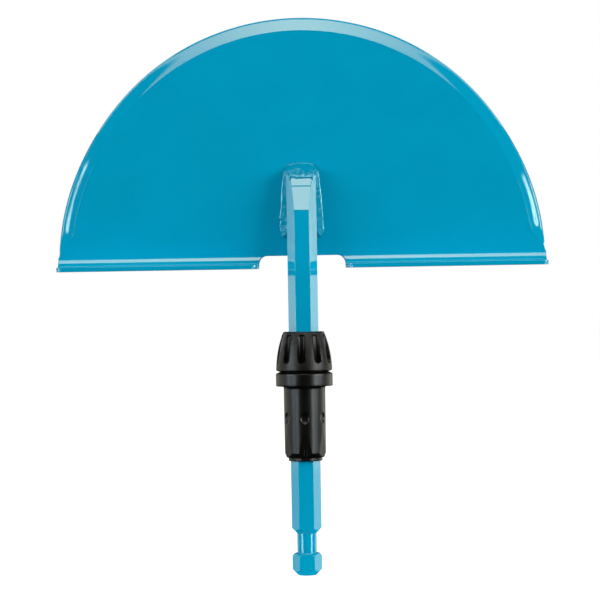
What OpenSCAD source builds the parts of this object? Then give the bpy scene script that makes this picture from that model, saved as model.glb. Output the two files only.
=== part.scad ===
// Half moon edger head with a clamp for a hexagon shank, in millimetres.
// The origin is on the shank's axis in the plane of the flange's underside. +Z points to the blade.

/* [Blade] */
// Radius of the half disc
blade_radius = 114.4; // [100:0.1:125]
// Thickness of the sheet
sheet = 2; // [1.6:0.1:3]
// Height of the disc's centre above the flange's underside
blade_centre = 58.5; // [54:0.5:64]
// Width of the ground bevel along the rim
bevel_width = 6; // [3:0.5:10]
// Thickness left at the cutting edge
edge_land = 0.4; // [0.2:0.1:1]
// Radius of the wheel that hollows the bevel
grind_radius = 55; // [40:1:90]

/* [Treads] */
// Depth of a tread from the blade's back to its front edge
tread_depth = 15; // [12:0.5:20]
// Inside radius of the fold
fold_radius = 4.8; // [2:0.1:6]
// Underside of a tread below the disc's centre
tread_drop = 3.7; // [2:0.1:6]
// How far a tread reaches past the disc at each side
tread_overhang = 0.4; // [0.2:0.1:3]
// Corner radius at the inner end of a tread
tread_inner_corner = 4.5; // [2:0.1:6]
// Corner radius at the outer end of a tread
tread_outer_corner = 2.5; // [1:0.1:4]
// Rounding of a tread's front top edge
tread_edge_round = 0.4; // [0.3:0.1:1.2]
// Width of the notch between the treads
notch_width = 40.5; // [34:0.5:50]
// Height of the notch above the top of the treads
notch_rise = 4.2; // [4:0.1:7]
// Corner radius of the notch
notch_corner = 3.7; // [2:0.1:5]

/* [Shank] */
// Across the flats of the hexagon bar
hex_flats = 12; // [11:0.1:13]
// Angle at which the bar leans back above its bend
lean_angle = 10; // [7:0.5:13]
// Height of the bend's corner above the flange's underside
bend_height = 55; // [51:0.5:60]
// Radius of the bend at the bar's axis
bend_radius = 48; // [40:1:56]
// Height of the bar's upper end
toe_height = 98.5; // [92:0.5:106]
// Length of the slanting cut at the toe
toe_cut_length = 16.6; // [12:0.2:20]
// Angle of the slanting cut to the bar
toe_cut_angle = 9; // [5:0.5:12]
// Length of the flat that seats on the blade
toe_seat = 3; // [1:0.2:6]

/* [Tail] */
// Depth of the lower end of the long hexagon
hex_drop = 65.9; // [60:0.1:72]
// Radius of the neck
neck_radius = 4.5; // [3.8:0.1:5]
// Length of the neck with its shoulder
neck_length = 11.7; // [9:0.1:14]
// Length of the short hexagon at the tail
tail_length = 10.3; // [8:0.1:13]
// Radius of the tail's upper face
tail_top_radius = 5.8; // [5.3:0.1:6.2]
// Height of the tail's upper chamfer
tail_top_chamfer = 1.4; // [0.8:0.1:2]
// Radius of the tail's lower face
tail_end_radius = 4.1; // [3.4:0.1:4.8]

/* [Welds] */
// Length of a side weld
weld_length = 29.6; // [24:0.2:34]
// Distance of a side weld's centre line from the shank's axis
weld_offset = 5.8; // [5.4:0.1:6.2]
// Radius of a side weld at its lower end
weld_low_radius = 4.8; // [4.2:0.1:5.2]
// Radius of a side weld at its upper end
weld_high_radius = 2.4; // [2:0.1:3]
// Radius of the weld across the toe
weld_toe_radius = 6.7; // [5:0.1:8]
// Width of the weld across the toe
weld_toe_width = 15.6; // [12:0.2:18]

/* [Sleeve] */
// Radius of the plug that goes into the handle
plug_radius = 9.6; // [9.2:0.1:10]
// Length of the plug below the flange
plug_length = 34.7; // [30:0.1:40]
// Length of the plug's straight seat under the flange's cone
plug_seat = 10; // [8:0.1:11]
// Inward draft of the plug from its seat to its lower taper
plug_draft = 0.1; // [0.05:0.05:0.3]
// Radius of the flange
flange_radius = 13.15; // [12.5:0.05:14]
// Thickness of the flange at its rim
flange_height = 5.8; // [4.5:0.1:7]
// Height of the slope on the flange's upper edge
flange_slope = 0.8; // [0.4:0.1:1.2]
// Inward reach of the slope on the flange's upper edge
flange_slope_in = 1.6; // [1:0.1:2]
// Outward reach of the cone under the flange
root_cone_out = 0.7; // [0.3:0.1:1]
// Height of the cone under the flange
root_cone_height = 1.4; // [0.8:0.1:2]
// Height of the plug's lower taper
end_taper_height = 2.1; // [1:0.1:3]
// Inward reach of the plug's lower taper
end_taper_in = 0.8; // [0.4:0.1:1.2]
// Wall of the lip at the plug's lower end
end_lip_wall = 0.8; // [0.5:0.1:1.2]
// Height of the lip at the plug's lower end
end_lip_height = 1.6; // [1:0.1:2.4]
// Depth of the dimples' centres below the flange
dimple_drop = 14.7; // [11:0.1:17]
// Radius of the ball that forms a dimple
dimple_ball = 6; // [4.5:0.1:8]
// Depth of a dimple
dimple_depth = 0.6; // [0.3:0.1:0.9]
// Depth of the top of the sloping flats below the flange
flat_drop = 22; // [20:0.1:24]
// Angle of the sloping flats to the axis
flat_angle = 3.2; // [2:0.1:5]
// Width of the slit at the plug's lower end
slit_width = 0.8; // [0.4:0.1:1.4]
// Height of the slit at the plug's lower end
slit_height = 5.8; // [3:0.1:8]

/* [Clamp] */
// Slip gap at each flat between the bar and a hexagon bore
hex_slip = 0.1; // [0.05:0.01:0.2]
// Gap between pieces that turn on each other
run_gap = 0.3; // [0.2:0.05:0.4]
// Wall of the threaded spigot at the corners of its bore
spigot_wall = 1.86; // [1.5:0.02:2.2]
// Height of the threaded spigot above the flange's slope
spigot_height = 6.85; // [6:0.05:8]
// Gap between the tightened nut and the flange
nut_gap = 0.2; // [0.1:0.05:0.4]
// Radius of the nut at its lower end
nut_radius = 13; // [12.2:0.05:13.4]
// Height of the nut
nut_height = 18.5; // [17:0.1:20]
// Radius of the curve of the nut's side
nut_side_radius = 50; // [40:1:60]
// Chamfer of the nut's upper edge
nut_top_chamfer = 0.6; // [0.2:0.1:1]
// Slope at the nut's lower edge
nut_low_slope = 0.6; // [0.3:0.1:1]
// Inward reach of the slope at the nut's lower edge
nut_low_slope_in = 1.4; // [0.8:0.1:1.8]
// Gap between the bar's corners and the nut's upper hole
nut_eye_gap = 0.37; // [0.3:0.01:0.6]
// Angle of the first flute from the front
flute_angle = -5.3; // [-18:0.1:18]
// Width of a flute at its floor
flute_floor_width = 1.9; // [1.4:0.1:2.4]
// Outward widening of a flute at each side for each unit of its depth
flute_flare = 0.4; // [0.3:0.05:0.7]
// Height of a flute's lower end above the nut's lower end
flute_start = 4.9; // [3.5:0.1:6]
// Wall left between a flute and the thread
flute_low_wall = 1.4; // [1:0.1:1.8]
// Wall left between a flute and the upper hole
flute_high_wall = 1.9; // [0.9:0.1:2.5]

/* [Ring] */
// Wall of the ring at the corners of its bore, under its flange
ring_nose_wall = 1.16; // [0.9:0.02:1.3]
// Height of the ring's nose
ring_nose_height = 0.9; // [0.7:0.05:1.2]
// Outward reach of the ring's flange past its nose
ring_flange_out = 0.55; // [0.45:0.05:0.7]
// Height of the ring's flange
ring_flange_height = 1; // [0.8:0.05:1.3]
// Wall of the ring at the corners of its bore, at the foot of its cone
ring_low_wall = 1.26; // [1.05:0.02:1.4]
// Wall of the ring at the corners of its bore, at its upper end
ring_high_wall = 0.7; // [0.5:0.02:0.9]
// Height of the ring's cone
ring_cone_height = 5; // [4:0.1:5.6]
// Gap between the ring and the spigot's end
ring_seat_gap = 0.1; // [0.05:0.05:0.2]
// Width of the ring's split
ring_split = 1.4; // [0.8:0.1:2]

/* [Hidden] */
$fn = 96;
paint = [0.0, 0.5, 0.62];
weld_paint = [0.0, 0.46, 0.58];
plastic = [0.09, 0.09, 0.1];
ring_tone = [0.55, 0.55, 0.56];
past = 1;
corner_clear = 0.1;
reach = 300;
bend_steps = 5;
flat_count = 6;
flute_count = 10;
hex_corner = hex_flats / sqrt(3);
bore_corner = (hex_flats + 2 * hex_slip) / sqrt(3);
// Shank, from its bend to its toe
bend_start = bend_height - bend_radius * tan(lean_angle / 2);
bend_end_y = bend_radius * (1 - cos(lean_angle));
bend_end_z = bend_start + bend_radius * sin(lean_angle);
back_offset = hex_flats / 2 / cos(lean_angle);
blade_front = bend_end_y + (toe_height - toe_seat - bend_end_z) * tan(lean_angle) + back_offset;
toe_cut_start = toe_height - toe_cut_length;
toe_cut_y = bend_end_y + (toe_cut_start - bend_end_z) * tan(lean_angle) - back_offset;
tail_top = hex_drop + neck_length;
tail_end = tail_top + tail_length;
tail_side = hex_corner + corner_clear;
// Bevel, hollowed by a wheel that leaves the face at one end and the cutting edge at the other
bevel_drop = sheet - edge_land;
bevel_slant = norm([bevel_width, bevel_drop]);
grind_reach = sqrt(pow(grind_radius, 2) - pow(bevel_slant / 2, 2)) / bevel_slant;
grind_r = blade_radius - bevel_width / 2 + grind_reach * bevel_drop;
grind_y = grind_reach * bevel_width - bevel_drop / 2;
// Treads
tread_top = blade_centre - tread_drop + sheet;
fold_start = tread_top + fold_radius;
tread_front = blade_front + sheet - tread_depth;
tread_half = blade_radius + tread_overhang;
notch_top = tread_top + notch_rise;
// Sleeve
seat_drop = root_cone_height + plug_seat;
taper_drop = plug_length - end_lip_height - end_taper_height;
function plug_side(drop) = plug_radius - plug_draft * (drop - seat_drop) / (taper_drop - seat_drop);
// Clamp
spigot_foot = flange_height + flange_slope;
spigot_end = spigot_foot + spigot_height;
thread_radius = bore_corner + spigot_wall;
nut_bore = thread_radius + run_gap;
nut_foot = spigot_foot + nut_gap;
nut_top = nut_foot + nut_height;
nut_eye = hex_corner + nut_eye_gap;
nut_top_radius = nut_radius - nut_side_radius + sqrt(pow(nut_side_radius, 2) - pow(nut_height, 2));
ring_foot = spigot_end + ring_seat_gap;
ring_flange_foot = ring_foot + ring_nose_height;
ring_cone_foot = ring_flange_foot + ring_flange_height;
ring_top = ring_cone_foot + ring_cone_height;
ring_nose = bore_corner + ring_nose_wall;
ring_flange = ring_nose + ring_flange_out;
ring_low = bore_corner + ring_low_wall;
ring_high = bore_corner + ring_high_wall;
flute_foot = nut_foot + flute_start;
flute_low = nut_bore + flute_low_wall;
flute_high = nut_eye + flute_high_wall;
flute_tilt = atan((flute_low - flute_high) / (nut_top - flute_foot));

// Shared shapes

// A hexagon with a flat towards the front
module hexagon(flats) {
    circle(r = flats / sqrt(3), $fn = 6);
}

// The whole bent bar before it is cut, one solid drawn through a row of hexagon sections
module bar() {
    sections = [
        [0, -tail_end, 0],
        for (i = [0 : bend_steps])
            let (turn = lean_angle * i / bend_steps)
                [bend_radius * (1 - cos(turn)), bend_start + bend_radius * sin(turn), turn],
        [bend_end_y + toe_height * sin(lean_angle), bend_end_z + toe_height * cos(lean_angle), lean_angle]
    ];
    last = len(sections) - 1;
    points = [
        for (section = sections)
            for (k = [0 : 5])
                let (deep = hex_corner * sin(60 * k))
                    [hex_corner * cos(60 * k), section[0] + deep * cos(section[2]), section[1] - deep * sin(section[2])]
    ];
    sides = [
        for (i = [0 : last - 1])
            for (k = [0 : 5])
                [6 * i + k, 6 * i + 6 + k, 6 * i + 6 + (k + 1) % 6, 6 * i + (k + 1) % 6]
    ];
    ends = [[0, 1, 2, 3, 4, 5], [for (k = [5 : -1 : 0]) 6 * last + k]];
    polyhedron(points, concat(sides, ends), convexity = 4);
}

// Everything behind the blade's front face
module behind_blade() {
    translate([-reach / 2, blade_front, -reach / 2]) cube([reach, reach, 2 * reach]);
}

// Removes the sharp corner of a square edge along Z, the solid lying at +X +Y
module corner_cut(radius, height) {
    difference() {
        translate([-past, -past, 0]) cube([radius + past, radius + past, height]);
        translate([radius, radius, -past]) cylinder(r = radius, h = height + 2 * past);
    }
}

// Blade and its treads

module half_disc() {
    translate([0, blade_front, blade_centre])
        rotate([90, 0, 0])
            rotate_extrude(angle = 180, $fn = 360)
                difference() {
                    translate([0, -sheet]) square([blade_radius, sheet]);
                    translate([grind_r, grind_y]) circle(r = grind_radius, $fn = 360);
                }
}

// Section of the fold and the tread, x to the rear and y up
module tread_section() {
    difference() {
        union() {
            translate([blade_front - fold_radius, fold_start]) circle(r = fold_radius + sheet);
            translate([tread_front, tread_top - sheet]) square([blade_front - fold_radius - tread_front, sheet]);
        }
        translate([blade_front - fold_radius, fold_start]) circle(r = fold_radius);
        translate([tread_front - reach, fold_start]) square([2 * reach, reach]);
        translate([tread_front - reach, tread_top]) square([reach + blade_front - fold_radius - tread_front, reach]);
    }
}

// One strip with both treads, before the notch parts them
module tread_strip() {
    difference() {
        translate([-tread_half, 0, 0])
            rotate([90, 0, 90])
                linear_extrude(2 * tread_half) tread_section();
        translate([-tread_half, tread_front, tread_top - sheet - past])
            corner_cut(tread_outer_corner, sheet + 2 * past);
        translate([tread_half, tread_front, tread_top - sheet - past])
            rotate(90) corner_cut(tread_outer_corner, sheet + 2 * past);
        translate([tread_half + past, tread_front, tread_top])
            rotate([0, -90, 0]) rotate(90) corner_cut(tread_edge_round, 2 * tread_half + 2 * past);
    }
}

// The notch seen from the front, with rounded upper corners and flared plan corners
module notch() {
    half = notch_width / 2;
    foot = tread_top - sheet - past;
    translate([0, reach / 2, 0])
        rotate([90, 0, 0])
            linear_extrude(reach)
                union() {
                    translate([-half, foot]) square([notch_width, notch_top - notch_corner - foot]);
                    translate([notch_corner - half, foot]) square([notch_width - 2 * notch_corner, notch_top - foot]);
                    for (side = [-1, 1])
                        translate([side * (half - notch_corner), notch_top - notch_corner]) circle(r = notch_corner);
                }
    for (side = [0, 1])
        mirror([side, 0, 0])
            translate([half, tread_front, foot]) corner_cut(tread_inner_corner, tread_top - foot + 2 * past);
}

module blade() {
    color(paint)
        difference() {
            union() {
                difference() {
                    half_disc();
                    translate([-reach, -reach, fold_start - reach]) cube([2 * reach, 2 * reach, reach]);
                }
                tread_strip();
            }
            notch();
        }
}

// Shank

// What is turned off the bar's lower end
module tail_waste() {
    rotate_extrude()
        polygon([
            [tail_end_radius - past, -tail_end - past],
            [tail_side, tail_side - tail_end_radius - tail_end],
            [tail_side, -tail_top - tail_top_chamfer],
            [tail_top_radius, -tail_top],
            [neck_radius, -tail_top],
            [neck_radius, neck_radius - hex_corner - hex_drop],
            [hex_corner + past, past - hex_drop],
            [hex_corner + past, -tail_end - past]
        ]);
}

module shank() {
    color(paint)
        difference() {
            bar();
            tail_waste();
            translate([-reach / 2, -reach / 2, toe_height]) cube([reach, reach, reach]);
            translate([0, toe_cut_y, toe_cut_start])
                rotate([-lean_angle - toe_cut_angle, 0, 0])
                    translate([-reach / 2, -reach, 0]) cube([reach, reach, reach]);
            behind_blade();
        }
}

// Welds

// One bead beside the bar, on the side given by -1 or 1
module side_weld(side) {
    weld_foot = toe_height - weld_length;
    difference() {
        translate([side * weld_offset, blade_front, weld_foot + weld_low_radius])
            union() {
                cylinder(
                    r1 = weld_low_radius,
                    r2 = weld_high_radius,
                    h = weld_length - weld_low_radius
                );
                sphere(r = weld_low_radius);
            }
        behind_blade();
        bar();
    }
}

module weld_left() {
    color(weld_paint) side_weld(-1);
}

module weld_right() {
    color(weld_paint) side_weld(1);
}

module weld_toe() {
    color(weld_paint)
        difference() {
            intersection() {
                translate([-weld_toe_width / 2, blade_front, toe_height])
                    rotate([0, 90, 0]) cylinder(r = weld_toe_radius, h = weld_toe_width);
                translate([0, blade_front + past, toe_height])
                    rotate([90, 0, 0]) cylinder(r = weld_toe_width / 2, h = reach / 4);
            }
            translate([-reach / 2, -reach / 2, toe_height - reach]) cube([reach, reach, reach]);
            behind_blade();
        }
}

// Sleeve

module sleeve_body() {
    lip_radius = bore_corner + end_lip_wall;
    rotate_extrude()
        polygon([
            [0, -plug_length],
            [lip_radius, -plug_length],
            [lip_radius, end_lip_height - plug_length],
            [plug_radius - plug_draft - end_taper_in, end_lip_height - plug_length],
            [plug_radius - plug_draft, -taper_drop],
            [plug_radius, -seat_drop],
            [plug_radius, -root_cone_height],
            [plug_radius + root_cone_out, 0],
            [flange_radius, 0],
            [flange_radius, flange_height],
            [flange_radius - flange_slope_in, spigot_foot],
            [thread_radius, spigot_foot],
            [thread_radius, spigot_end],
            [0, spigot_end]
        ]);
}

module sleeve() {
    color(plastic)
        difference() {
            sleeve_body();
            translate([0, 0, -plug_length - past])
                linear_extrude(plug_length + spigot_end + 2 * past) hexagon(hex_flats + 2 * hex_slip);
            for (i = [0 : flat_count - 1])
                rotate(i * 360 / flat_count) {
                    translate([0, dimple_depth - dimple_ball - plug_side(dimple_drop), -dimple_drop])
                        sphere(r = dimple_ball);
                    translate([0, -plug_side(flat_drop), -flat_drop])
                        rotate([180 + flat_angle, 0, 0])
                            translate([-plug_radius, 0, 0]) cube([2 * plug_radius, plug_radius, plug_length]);
                }
            translate([-slit_width / 2, -plug_radius - past, -plug_length - past])
                cube([slit_width, plug_radius + past, slit_height + past]);
        }
}

// Clamp ring and nut

module clamp_ring() {
    color(ring_tone)
        difference() {
            rotate_extrude()
                polygon([
                    [0, ring_foot],
                    [ring_nose, ring_foot],
                    [ring_nose, ring_flange_foot],
                    [ring_flange, ring_flange_foot],
                    [ring_flange, ring_cone_foot],
                    [ring_low, ring_cone_foot],
                    [ring_high, ring_top],
                    [0, ring_top]
                ]);
            translate([0, 0, ring_foot - past])
                linear_extrude(ring_top - ring_foot + 2 * past) hexagon(hex_flats + 2 * hex_slip);
            translate([-ring_split / 2, 0, ring_foot - past])
                cube([ring_split, reach, ring_top - ring_foot + 2 * past]);
        }
}

// The nut's turned outside
module nut_outside() {
    rotate_extrude()
        intersection() {
            polygon([
                [0, nut_foot],
                [nut_radius - nut_low_slope_in, nut_foot],
                [nut_radius, nut_foot + nut_low_slope],
                [nut_radius, nut_top - nut_top_chamfer - nut_radius + nut_top_radius],
                [nut_top_radius - nut_top_chamfer, nut_top],
                [0, nut_top]
            ]);
            translate([nut_radius - nut_side_radius, nut_foot]) circle(r = nut_side_radius, $fn = 360);
        }
}

// The nut's hollow, from its thread to its upper hole
module nut_hollow() {
    rotate_extrude()
        polygon([
            [0, nut_foot - past],
            [nut_bore, nut_foot - past],
            [nut_bore, spigot_end + run_gap / 2],
            [ring_nose + run_gap, spigot_end + run_gap / 2],
            [ring_nose + run_gap, ring_flange_foot - run_gap],
            [ring_flange + run_gap, ring_flange_foot - run_gap],
            [ring_flange + run_gap, ring_cone_foot + run_gap],
            [ring_low + run_gap, ring_cone_foot + run_gap],
            [ring_high + run_gap, ring_top + run_gap],
            [nut_eye, ring_top + run_gap],
            [nut_eye, nut_top + past],
            [0, nut_top + past]
        ]);
}

// One flute at the front, its floor sloping with the nut's side
module flute() {
    floor_half = flute_floor_width / 2;
    deep = nut_radius;
    wide_half = floor_half + flute_flare * deep;
    translate([0, -flute_low, flute_foot])
        rotate([-flute_tilt, 0, 0])
            translate([0, 0, floor_half]) {
                linear_extrude(2 * nut_height)
                    polygon([
                        [-floor_half, 0],
                        [-wide_half, -deep],
                        [wide_half, -deep],
                        [floor_half, 0]
                    ]);
                rotate([90, 0, 0]) cylinder(r1 = floor_half, r2 = wide_half, h = deep);
            }
}

module clamp_nut() {
    color(plastic)
        difference() {
            nut_outside();
            nut_hollow();
            for (i = [0 : flute_count - 1])
                rotate(flute_angle + i * 360 / flute_count) flute();
        }
}

blade();
shank();
weld_left();
weld_right();
weld_toe();
sleeve();
clamp_ring();
clamp_nut();
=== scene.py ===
import math

import bmesh
import bpy
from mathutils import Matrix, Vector, kdtree
from mathutils import noise as grain_field


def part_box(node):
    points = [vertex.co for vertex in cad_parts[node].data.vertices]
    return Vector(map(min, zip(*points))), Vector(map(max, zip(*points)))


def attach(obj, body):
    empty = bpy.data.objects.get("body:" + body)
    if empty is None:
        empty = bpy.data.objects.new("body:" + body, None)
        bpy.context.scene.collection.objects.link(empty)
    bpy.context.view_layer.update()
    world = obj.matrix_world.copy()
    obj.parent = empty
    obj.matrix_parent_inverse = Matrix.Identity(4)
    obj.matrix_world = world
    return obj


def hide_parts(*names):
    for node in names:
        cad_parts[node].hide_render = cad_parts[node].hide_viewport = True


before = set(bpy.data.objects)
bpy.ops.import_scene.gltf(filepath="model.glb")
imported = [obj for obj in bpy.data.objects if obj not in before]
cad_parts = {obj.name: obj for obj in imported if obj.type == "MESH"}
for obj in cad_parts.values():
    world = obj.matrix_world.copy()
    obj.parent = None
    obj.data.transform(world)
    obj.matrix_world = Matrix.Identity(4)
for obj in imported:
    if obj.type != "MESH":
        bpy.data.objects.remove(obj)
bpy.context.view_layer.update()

# Lengths are in millimetres: sides of the solids' boxes, and sizes chosen to suit them
MM = 0.001


def reach(node, corner, axis):
    """One side of a node's box in millimetres, corner 0 for the lowest and 1 for the highest."""
    return getattr(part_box(node)[corner], axis) / MM


# Sheet of the blade and its rim, with angles in degrees up from the rim's side
SHEET = 2.0
BLADE_BACK = reach("blade", 1, "y")
BLADE_FRONT = BLADE_BACK - SHEET
RIM_RADIUS = 114.4
RIM_STEPS = 110
RIM_FOOT = 0.9
RIM_END_ANGLE = 89.5
DRESSED_DEPTH = 0.65
DRESSED_ANGLE = 32.0
DRESSED_SPREAD = 18.0
DISC_CENTRE = reach("blade", 1, "z") - RIM_RADIUS

# Ground bevel along the rim, and the rounding of the sheet's edges
BEVEL_WIDTH = 6.0
BEVEL_SLOPE = 0.241
BEVEL_MIDDLE = 2.65
BEVEL_HOLLOW_OUTSIDE = 0.0116
BEVEL_HOLLOW_INSIDE = 0.0088
BEVEL_BLEND = 0.04
BEVEL_RUNOUT_FOOT = 0.5
BEVEL_RUNOUT_TOP = 12.5
RIM_EDGE = 0.8
RIM_LAND = 0.05
EDGE_ROUND = 0.2

# Fold, treads and the notch between them
FOLD_INNER = 4.8
FOLD_MIDDLE = FOLD_INNER + SHEET / 2.0
FOLD_LENGTH = FOLD_MIDDLE * math.pi / 2.0
FOLD_START = reach("blade", 0, "z") + SHEET + FOLD_INNER
FOLD_CENTRE_Y = BLADE_FRONT - FOLD_INNER
SHEET_FOOT = reach("blade", 0, "y") - FOLD_CENTRE_Y - FOLD_LENGTH
TREAD_HALF = reach("blade", 1, "x")
TREAD_INNER_CORNER = 4.5
TREAD_OUTER_CORNER = 2.5
TREAD_END_FOOT = -4.0
TREAD_END_TOP = -0.8
NOTCH_HALF = 20.25
NOTCH_CORNER = 3.7
NOTCH_RISE = 4.2
NOTCH_TOP = FOLD_START - FOLD_INNER + NOTCH_RISE

# Bar and welds
TOE_HEIGHT = reach("shank", 1, "z")
WELD_FOOT = reach("weld_left", 0, "z")

# Sleeve: plug, flange and spigot, where a drop is a depth below the flange
HEX_BORE_FLATS = 12.2
PLUG_RADIUS = 9.6
PLUG_END = reach("sleeve", 0, "z")
SEAT_DROP = 11.4
TAPER_DROP = 31.0
PLUG_DRAFT = 0.1
PLUG_FLATS_DROP = 22.0
PLUG_FLATS_TILT = math.radians(3.2)
PLUG_SIDES = 6
DIMPLE_HEIGHT = -14.7
DIMPLE_HALF_WIDE = 2.1
DIMPLE_HALF_TALL = 2.65
DIMPLE_DEPTH = 0.75
SLIT_TOP = -28.7
SLIT_DEPTH = 0.7
SLIT_HALF_TOP = 0.55
SLIT_HALF_FLOOR = 0.3
SLIT_END = 0.4
END_RING_RADIUS = 7.84
END_RING_HEIGHT = 1.6
FILLET_WIDE = 0.7
FILLET_TALL = 1.4
FLANGE_RADIUS = reach("sleeve", 1, "x")
FLANGE_SHOULDER = 5.8
FLANGE_SLOPE = 1.6
SPIGOT_RADIUS = 8.9
SPIGOT_FOOT = 6.6
SPIGOT_END = reach("sleeve", 1, "z")
SPIGOT_CHAMFER = 0.7
BORE_MOUTH = 7.3

# Thread, its crest and root as shares of the pitch
THREAD_PITCH = 2.5
THREAD_DEPTH = 0.7
THREAD_CREST = 0.12
THREAD_ROOT = 0.42

# Clamp nut
NUT_FOOT = reach("clamp_nut", 0, "z")
NUT_TOP = reach("clamp_nut", 1, "z")
NUT_RADIUS = 13.0
NUT_SIDE_RADIUS = 50.0
FLUTE_COUNT = 10
FLUTE_ANGLE = math.radians(-5.3)
FLUTE_FOOT = NUT_FOOT + 3.95
FLUTE_HEAD = NUT_TOP - 1.1
FLUTE_FLOOR_HALF = 0.5
FLUTE_ROUND = 1.3
FLUTE_FOOT_DEPTH = 2.9
FLUTE_HEAD_DEPTH = 0.8
FLUTE_EDGE = 0.25
FLUTE_WALL = 10.0
NUT_THREAD_RADIUS = 9.2
NUT_THREAD_DEPTH = 0.45
NUT_THREAD_TOP = 11.6
NUT_BORE = 7.3
NUT_BORE_FOOT = 20.75
NUT_CONE_TOP_RADIUS = 8.04
NUT_CONE_RADIUS = 8.6
NUT_CONE_FOOT = 15.75
NUT_GROOVE_RADIUS = 9.05
NUT_GROOVE_FOOT = 14.15
NUT_LIP_RADIUS = 8.5
NUT_LIP_FOOT = 13.6
NUT_THREAD_START = 13.4
NUT_CHAMFER_IN = 1.4
NUT_CHAMFER_UP = 0.6
NUT_SIDE_END = 0.9


# Small helpers for shapes

def clamp01(value):
    return max(0.0, min(1.0, value))


def mix(a, b, share):
    return a + (b - a) * share


def smooth_step(low, high, value):
    t = clamp01((value - low) / (high - low))
    return t * t * (3.0 - 2.0 * t)


def smooth_min(a, b, soft):
    """The smaller of two heights, with their crossing rounded over."""
    h = clamp01(0.5 + 0.5 * (b - a) / soft)
    return mix(b, a, h) - soft * h * (1.0 - h)


def from_nearest(angle, count, first=0.0):
    """Angle from the nearest of count equal places round the axis, the first at the front."""
    pitch = 2.0 * math.pi / count
    turn = angle + math.pi / 2.0 - first
    return (turn + pitch / 2.0) % pitch - pitch / 2.0


def arc(centre_x, centre_y, radius, start, end, steps):
    """Points of an arc between two angles in degrees."""
    turns = [math.radians(mix(start, end, k / steps)) for k in range(steps + 1)]
    return [(centre_x + radius * math.cos(a), centre_y + radius * math.sin(a)) for a in turns]


def rounded_path(corners, arc_steps=5):
    """Points along a line of (r, z, rounding) corners, with each rounded corner drawn as an arc."""
    points = []
    for i, (r, z, rounding) in enumerate(corners):
        here = Vector((r, z))
        if rounding <= 0.0 or i in (0, len(corners) - 1):
            points.append(here)
            continue
        before = Vector(corners[i - 1][:2]) - here
        after = Vector(corners[i + 1][:2]) - here
        half = before.angle(after) / 2.0
        cut = min(rounding / math.tan(half), 0.49 * before.length, 0.49 * after.length)
        radius = cut * math.tan(half)
        middle = here + (before.normalized() + after.normalized()).normalized() * (radius / math.sin(half))
        first = here + before.normalized() * cut - middle
        last = here + after.normalized() * cut - middle
        sweep = first.angle_signed(last)
        for k in range(arc_steps + 1):
            turn = -sweep * k / arc_steps
            c = math.cos(turn)
            s = math.sin(turn)
            points.append(middle + Vector((first.x * c - first.y * s, first.x * s + first.y * c)))
    return points


def divided(points, step):
    """The same line with no part of it longer than step."""
    out = [points[0]]
    for a, b in zip(points, points[1:]):
        parts = max(1, math.ceil((b - a).length / step))
        for k in range(1, parts + 1):
            out.append(a.lerp(b, k / parts))
    return out


def hex_radius(angle, flats):
    """Distance from the centre to a hexagon's side, its corners on the X axis."""
    turn = (angle % (math.pi / 3.0)) - math.pi / 6.0
    return flats / 2.0 / math.cos(turn)


def finished_object(name, work, material, body, node):
    """Turns a bmesh in metres into a smooth piece that stands for a node and rides on a body."""
    bmesh.ops.recalc_face_normals(work, faces=work.faces)
    mesh = bpy.data.meshes.new(name)
    work.to_mesh(mesh)
    work.free()
    for polygon in mesh.polygons:
        polygon.use_smooth = True
    mesh.materials.append(material)
    obj = bpy.data.objects.new(name, mesh)
    bpy.context.scene.collection.objects.link(obj)
    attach(obj, body)
    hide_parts(node)
    return obj


def weighted(obj):
    """Lets large flat faces keep their own direction next to small rounded ones."""
    normals = obj.modifiers.new("normals", "WEIGHTED_NORMAL")
    normals.mode = "FACE_AREA"
    normals.weight = 50
    normals.keep_sharp = True


def lathe_mesh(rows, turns, place):
    """A closed loop of (kind, r, z) rows swept round the axis. place(kind, r, z, angle) gives each radius."""
    work = bmesh.new()
    rings = []
    for kind, r, z in rows:
        ring = []
        for k in range(turns):
            angle = 2.0 * math.pi * k / turns
            radius = place(kind, r, z, angle)
            ring.append(work.verts.new(Vector((radius * math.cos(angle), radius * math.sin(angle), z)) * MM))
        rings.append(ring)
    for i, ring in enumerate(rings):
        other = rings[(i + 1) % len(rings)]
        for k in range(turns):
            m = (k + 1) % turns
            work.faces.new((ring[k], ring[m], other[m], other[k]))
    return work


# Materials

def shader_tree(name):
    material = bpy.data.materials.new(name)
    material.use_nodes = True
    return material, material.node_tree, material.node_tree.nodes["Principled BSDF"]


def noise(tree, scale, detail):
    coords = tree.nodes.new("ShaderNodeTexCoord")
    texture = tree.nodes.new("ShaderNodeTexNoise")
    texture.inputs["Scale"].default_value = scale
    texture.inputs["Detail"].default_value = detail
    tree.links.new(coords.outputs["Object"], texture.inputs["Vector"])
    return texture


def vary_roughness(tree, shader, texture, low, high):
    spread = tree.nodes.new("ShaderNodeMapRange")
    spread.inputs["From Min"].default_value = 0.3
    spread.inputs["From Max"].default_value = 0.7
    spread.inputs["To Min"].default_value = low
    spread.inputs["To Max"].default_value = high
    tree.links.new(texture.outputs["Fac"], spread.inputs["Value"])
    tree.links.new(spread.outputs["Result"], shader.inputs["Roughness"])


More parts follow.
